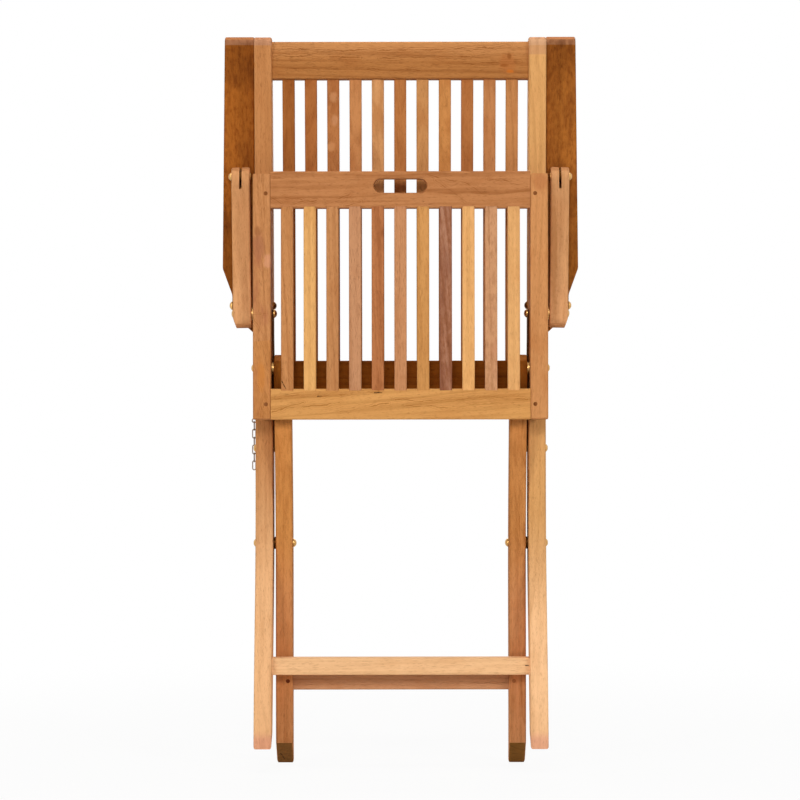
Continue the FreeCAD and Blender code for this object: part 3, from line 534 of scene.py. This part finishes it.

# above about half a metre each leg turns darker where the seat overhangs it: painted shade of the
# seat; the lower shift changes the tone towards the feet
rearLegs = {
    "rear_leg_left": dict(
        tone=(204, 135, 71), seed=14.4, endTone=(134, 90, 46), topEnd=(190, 120, 60),
        patchy=0.5, mottled=0.5, contrast=0.8,
        shifts=[(0.36, 0.22, (202, 134, 82)), (0.50, 0.56, (149, 87, 27))],
        cracks=[((-0.1795, 0.0165), (-0.1735, 0.0065), 0.5)]),
    "rear_leg_right": dict(
        tone=(196, 129, 70), seed=17.9, endTone=(135, 91, 42), topEnd=(190, 124, 62),
        patchy=0.5, mottled=0.5, contrast=0.8,
        shifts=[(0.36, 0.22, (203, 137, 88)), (0.50, 0.56, (149, 87, 27))],
        veins=[((0.1710, 0.3900), (0.1740, 0.3350)), ((0.1765, 0.3700), (0.1775, 0.3200))]),
}
teakBoards(rearLegs)
rearStretcher = dict(tone=(198, 141, 100), seed=19.3, contrast=0.7)
teak("rear_stretcher", rearStretcher, grain="X")
rearPegs = dict(tone=(110, 55, 30), seed=2.2, endTone=(120, 52, 30),
                spots=[((0.1657, 0.1260), (16, 16), 0.0, (190, 122, 74))])  # the right one is pale
teak("rear_leg_pegs", rearPegs)
print("rear legs dressed")

seatSlats = {
    "tones": [(196, 134, 82), (227, 170, 103), (194, 134, 84), (194, 138, 98), (182, 115, 70),
              (199, 139, 95), (207, 147, 84), (155, 100, 71), (232, 173, 108), (202, 147, 105),
              (229, 172, 110)],
    "slopes": [4, 0, 2, 1, 3, -1, 1, 5, 0, 1, 1],
    "firstSeed": 41.7, "seedStep": 1.91,
    "all": dict(contrast=0.55, patchy=0.5, ringGap=6.0),
    "own": {
        1: dict(contrast=0.8,
                veins=[((-0.1683, 0.5983), (-0.1571, 0.5698)),
                       ((-0.1718, 0.5889), (-0.1729, 0.5698))],
                cracks=[((-0.1729, 0.5698), (-0.1665, 0.5591), 0.55)]),
        5: dict(contrast=0.8, patchy=0.9, patchTone=(146, 84, 44)),
        8: dict(contrast=0.7, mottled=0.9, paleTone=(190, 140, 112), patchTone=(134, 82, 60)),
        10: dict(mottled=1.1, patchTone=(184, 120, 86)),
    },
}
teakSlats("seat_slat", seatSlats)

sideRails = {
    "seat_side_rail_left": dict(
        tone=(197, 135, 84), seed=61.2, patchy=0.9, sway=14.0, mottled=0.6, contrast=0.6, slope=3,
        patchTone=(176, 110, 72), joint=(0.6470, -0.09, (197, 132, 75), 9.0),
        spots=[((-0.2050, 0.7660), (9, 24), 3.0, (170, 108, 73)),
               ((-0.2075, 0.7880), (6, 9), 2.0, (160, 100, 60)),
               ((-0.1930, 0.7450), (7, 12), 0.0, (214, 150, 112)),
               ((-0.2030, 0.5780), (7, 26), 2.0, (204, 130, 62))],
        veins=[((-0.2147, 0.6638), (-0.1991, 0.6365)), ((-0.1991, 0.6365), (-0.1908, 0.6031)),
               ((-0.2042, 0.6303), (-0.1918, 0.5853)), ((-0.2071, 0.5649), (-0.1998, 0.5314)),
               ((-0.2160, 0.6666), (-0.1890, 0.6694))]),
    "seat_side_rail_right": dict(
        tone=(204, 141, 87), seed=63.8, patchy=0.6, slope=-2, contrast=0.6,
        spots=[((0.2040, 0.8600), (12, 14), 4.0, (186, 118, 70))]),
}
teakBoards(sideRails)
seatRails = {
    "seat_front_rail": dict(
        tone=(210, 150, 85), seed=66.1, ringGap=11.0, sway=16.0, wavy=1.5, slope=4.0, contrast=0.8,
        pithAngle=0.2, pithDistance=80, patchy=0.3, mottled=0.1, veinDepth=0.9,
        cracks=[((-0.0380, 0.5530), (-0.0270, 0.5541), 0.6),
                ((-0.1210, 0.5478), (-0.1140, 0.5484), 0.4)],
        veins=[((-0.1873, 0.5437), (-0.1409, 0.5520)), ((-0.1219, 0.5472), (-0.0742, 0.5527)),
               ((-0.0742, 0.5527), (-0.0297, 0.5538)), ((-0.1873, 0.5258), (-0.1409, 0.5389)),
               ((-0.1409, 0.5317), (-0.0886, 0.5389)), ((-0.0886, 0.5246), (-0.0172, 0.5389)),
               ((-0.0079, 0.5441), (0.0484, 0.5405)), ((0.0484, 0.5405), (0.1095, 0.5466)),
               ((0.1095, 0.5466), (0.1854, 0.5441)), ((0.0067, 0.5344), (0.0729, 0.5319)),
               ((0.0729, 0.5319), (0.1438, 0.5387))]),
    "seat_handle_rail": dict(
        tone=(186, 124, 76), seed=69.4, ringGap=4.5, sway=14.0, wavy=5.0, contrast=0.8, slope=1.0,
        pithAngle=1.3, pithDistance=34, patchy=0.5, mottled=0.25, veinDepth=1.0,
        veins=[((-0.1873, 0.8361), (-0.1729, 0.8277)), ((-0.1694, 0.8385), (-0.1433, 0.8337)),
               ((-0.1598, 0.8265), (-0.1417, 0.8313)), ((-0.1417, 0.8313), (-0.1219, 0.8337)),
               ((-0.1075, 0.8313), (-0.0742, 0.8408)), ((-0.0801, 0.8261), (-0.0576, 0.8313)),
               ((-0.1873, 0.8670), (-0.1552, 0.8623)), ((0.0387, 0.8702), (0.0948, 0.8580)),
               ((0.0948, 0.8580), (0.1292, 0.8360)), ((0.0509, 0.8629), (0.0729, 0.8482)),
               ((0.0729, 0.8482), (0.0948, 0.8322)), ((0.1292, 0.8652), (0.1854, 0.8530))]),
}
teakBoards(seatRails, grain="X")
seatPegs = dict(tone=(140, 84, 46), seed=4.4, endTone=(130, 76, 40))
teak("seat_pegs", seatPegs)
print("seat dressed")

# each arm turns darker towards its lower end, partly its own tone and partly painted shade cast by
# the strut; the pale band along its top is partly the sawn end on the rounded top and partly
# painted highlight from the light above
arms = {
    "arm_left": dict(
        tone=(161, 91, 30), seed=72.5, patchy=0.8, contrast=0.5, mottled=2.0, slope=2,
        endTone=(184, 118, 72), patchTone=(118, 60, 16),
        shifts=[(0.88, 0.66, (131, 71, 19)), (1.00, 1.04, (142, 78, 24)),
                (1.0690, 1.0705, (180, 123, 86))]),
    "arm_right": dict(
        tone=(165, 98, 37), seed=75.1, patchy=0.8, contrast=0.5, mottled=2.0, slope=-2,
        endTone=(186, 120, 76), patchTone=(120, 62, 18),
        shifts=[(0.88, 0.66, (150, 87, 30)), (1.00, 1.04, (144, 82, 28)),
                (1.0690, 1.0705, (184, 129, 91))]),
}
teakBoards(arms)
struts = {
    "arm_strut_left": dict(
        tone=(213, 152, 100), seed=77.7, contrast=0.5, patchy=0.3,
        shifts=[(0.76, 0.70, (219, 159, 107))]),
    "arm_strut_right": dict(
        tone=(212, 154, 103), seed=79.9, contrast=0.5, patchy=0.3,
        shifts=[(0.76, 0.70, (219, 160, 109))],
        spots=[((0.2250, 0.7600), (6, 120), 0.0, (180, 121, 72))]),
}
teakBoards(struts)
print("arms and struts dressed")

# Fine scratches and a dull film on handled metal
wear = {
    "filmSize": (3.2, 3.2, 3.2), "scratchSize": (1.6, 0.12, 0.12),  # mm
    "filmStart": 0.72, "filmSpread": -0.5,  # the film spreads as the amount grows
    "filmEdge": 0.3,
    "scratchRough": 0.22, "filmRough": 0.3,
    "filmHeight": 0.3,
}
metalWear, given, give = newGroup(
    "metal wear",
    [("Place", "Vector", None), ("Color", "Color", (0.7, 0.5, 0.2, 1)),
     ("Tarnish", "Color", (0.2, 0.1, 0.04, 1)), ("Amount", "Float", 0.4),
     ("Polish", "Float", 0.25)],
    [("Color", "Color"), ("Roughness", "Float"), ("Height", "Float")])
tree = metalWear
film = noise(tree, given["Place"], wear["filmSize"], 3.0, 0.6)
scratches = noise(tree, given["Place"], wear["scratchSize"], 2.0, 0.7)
full = maths(tree, "MULTIPLY_ADD", given["Amount"], wear["filmSpread"], wear["filmStart"])
covered = ramp(tree, film, maths(tree, "SUBTRACT", full, wear["filmEdge"]), full)
covered = maths(tree, "MULTIPLY", covered, given["Amount"])
plug(tree, blend(tree, covered, given["Color"], given["Tarnish"]), give["Color"])
rough = maths(tree, "MULTIPLY_ADD", centred(tree, scratches), wear["scratchRough"], given["Polish"])
plug(tree, maths(tree, "MULTIPLY_ADD", covered, wear["filmRough"], rough), give["Roughness"])
plug(tree, maths(tree, "MULTIPLY_ADD", film, wear["filmHeight"], scratches), give["Height"])

brass = dict(colour=(236, 188, 116), tarnish=(128, 78, 34), amount=0.4, polish=0.2)
metals = {
    "brass": brass,
    # a copy of the brass painted darker for washers, sleeves and brackets set in shade between the
    # wooden parts: painted shade and painted dark reflection
    "shadedBrass": dict(colour=(132, 84, 34), tarnish=(44, 24, 10), amount=0.75, polish=0.2),
    "armBoltBrass": dict(brass, inner=(112, 66, 26)),  # nuts between the stiles painted darker: painted shade and painted dark reflection
    "linkSteel": dict(colour=(128, 78, 38), tarnish=(60, 32, 14), amount=0.7, polish=0.42),
    "chainZinc": dict(colour=(178, 162, 148), tarnish=(98, 74, 58), amount=0.6, polish=0.26),
}
metalPieces = {
    "brass": ["cross_bolts", "link_pivot_bolts", "seat_leg_bolts", "seat_leg_washers",
              "strut_fasteners_left", "strut_fasteners_right", "arm_bracket_screws_left",
              "arm_bracket_screws_right", "seat_link_nut_left", "seat_link_nut_right"],
    "shadedBrass": ["arm_pivot_washers", "cross_washers", "seat_sleeves", "arm_bracket_left",
                  "arm_bracket_right"],
    "armBoltBrass": ["arm_pivot_bolts"],
    "linkSteel": ["seat_link_left", "seat_link_right"],
    "chainZinc": ["lock_chain", "chain_eye"],
}
metalWork = {
    "innerReach": 0.2,  # metres from the chair's middle within which a bolt is inside the frame
    "relief": 0.00006,
}
for name, metal in metals.items():
    material, tree, shader = newMaterial(name)
    coords = tree.nodes.new("ShaderNodeTexCoord")
    place = vectorMaths(tree, "SCALE", coords.outputs["Object"], scale=1000.0)  # mm
    finish = useGroup(tree, metalWear, {
        "Place": place, "Color": paint(*metal["colour"]), "Tarnish": paint(*metal["tarnish"]),
        "Amount": metal["amount"], "Polish": metal["polish"]})
    colour = finish["Color"]
    # bolt ends within the frame are painted darker: painted shade and painted dark reflection
    if "inner" in metal:
        sideways = maths(tree, "ABSOLUTE", split(tree, coords.outputs["Object"])["X"])
        inside = maths(tree, "LESS_THAN", sideways, metalWork["innerReach"])
        colour = blend(tree, inside, colour, paint(*metal["inner"]))
    plug(tree, colour, shader.inputs["Base Color"])
    plug(tree, finish["Roughness"], shader.inputs["Roughness"])
    shader.inputs["Metallic"].default_value = 1.0
    bump(tree, finish["Height"], metalWork["relief"], shader)
    for node in metalPieces[name]:
        dress(node, material)
print("metal dressed")

studio = {
    "floorSize": 14.0,
    "floorColour": (228, 227, 225),
    "floorRoughness": 0.9,
    "floorGlow": 0.93,  # share of the floor under the chair that the camera sees as plain white
    "glowSpan": (0.45, 1.5),  # metres over which the floor fades into the white backdrop
    "skyLight": 0.04,
    "lamps": {  # watts, place, size, all aimed at the chair
        "front key": (25.0, (-0.12, -2.95, 1.7), 0.6),
        "left key": (32.4, (-2.2, -2.4, 1.2), 0.8),
        "right key": (32.4, (2.2, -2.4, 1.2), 0.8),
        "fill softbox": (2.5, (0.1, -3.5, 0.9), 0.8),
        "top softbox": (36.0, (0.0, -0.1, 3.0), 1.6),
        "left softbox": (1.2, (-3.0, 0.4, 1.2), 1.6),
        "right softbox": (1.2, (3.0, 0.4, 1.2), 1.6),
        "rear softbox": (44.0, (0.3, 3.2, 2.0), 1.8),
    },
    "aim": (0.0, 0.0, 0.55),
}
half = studio["floorSize"] / 2
corners = [(-half, -half, 0), (half, -half, 0), (half, half, 0), (-half, half, 0)]
floorMesh = bpy.data.meshes.new("floor")
floorMesh.from_pydata(corners, [], [(0, 1, 2, 3)])
floor = bpy.data.objects.new("floor", floorMesh)
bpy.context.scene.collection.objects.link(floor)
material, tree, shader = newMaterial("pale floor")
shader.inputs["Base Color"].default_value = paint(*studio["floorColour"])
shader.inputs["Roughness"].default_value = studio["floorRoughness"]
shader.inputs["Specular IOR Level"].default_value = 0.0
glow = tree.nodes.new("ShaderNodeEmission")
glow.inputs["Strength"].default_value = 1.0


def backdropRays(tree):  # 1 where the camera, a gloss or a glass looks at the background
    rays = tree.nodes.new("ShaderNodeLightPath")
    seen = maths(tree, "ADD", rays.outputs["Is Camera Ray"], rays.outputs["Is Glossy Ray"])
    return maths(tree, "ADD", seen, rays.outputs["Is Transmission Ray"], clamp=True)


coords = tree.nodes.new("ShaderNodeTexCoord")
reach = vectorMaths(tree, "LENGTH", coords.outputs["Object"])
share = ramp(tree, reach, *studio["glowSpan"], studio["floorGlow"], 1.0)
mix = tree.nodes.new("ShaderNodeMixShader")
plug(tree, maths(tree, "MULTIPLY", backdropRays(tree), share), mix.inputs[0])
tree.links.new(shader.outputs[0], mix.inputs[1])
tree.links.new(glow.outputs[0], mix.inputs[2])
tree.links.new(mix.outputs[0], tree.nodes["Material Output"].inputs["Surface"])
floorMesh.materials.append(material)

world = bpy.data.worlds.new("studio")
world.use_nodes = True
bpy.context.scene.world = world
tree = world.node_tree
sky = tree.nodes["Background"]
sky.inputs["Color"].default_value = (1.0, 1.0, 1.0, 1.0)
strength = tree.nodes.new("ShaderNodeMapRange")
plug(tree, backdropRays(tree), strength.inputs["Value"])
strength.inputs["To Min"].default_value = studio["skyLight"]
strength.inputs["To Max"].default_value = 1.0
tree.links.new(strength.outputs["Result"], sky.inputs["Strength"])

for name, (watts, place, size) in studio["lamps"].items():
    lampData = bpy.data.lights.new(name, "AREA")
    lampData.energy = watts
    lampData.size = size
    lamp = bpy.data.objects.new(name, lampData)
    lamp.location = place
    ahead = Vector(studio["aim"]) - Vector(place)
    lamp.rotation_euler = ahead.to_track_quat("-Z", "Y").to_euler()
    bpy.context.scene.collection.objects.link(lamp)
print("studio lit")

view = {
    "distance": 3.29365,  # from the chair's middle plane
    "height": 0.5425,
    "side": -0.0009,
    "roll": 0.0013,  # radians; the chair stands a hair out of upright in the photo
    "widthSeen": 1.184, "widthSeenAt": 3.3,  # metres across the picture, at that distance
    "sensor": 36.0,
}
cameraData = bpy.data.cameras.new("camera")
cameraData.sensor_width = view["sensor"]
cameraData.lens = view["sensor"] * view["widthSeenAt"] / view["widthSeen"]
camera = bpy.data.objects.new("camera", cameraData)
camera.location = (view["side"], -view["distance"], view["height"])
camera.rotation_euler = (math.pi / 2, view["roll"], 0.0)
bpy.context.scene.collection.objects.link(camera)
bpy.context.scene.camera = camera
bpy.context.scene.view_settings.view_transform = "Standard"
print("camera set")
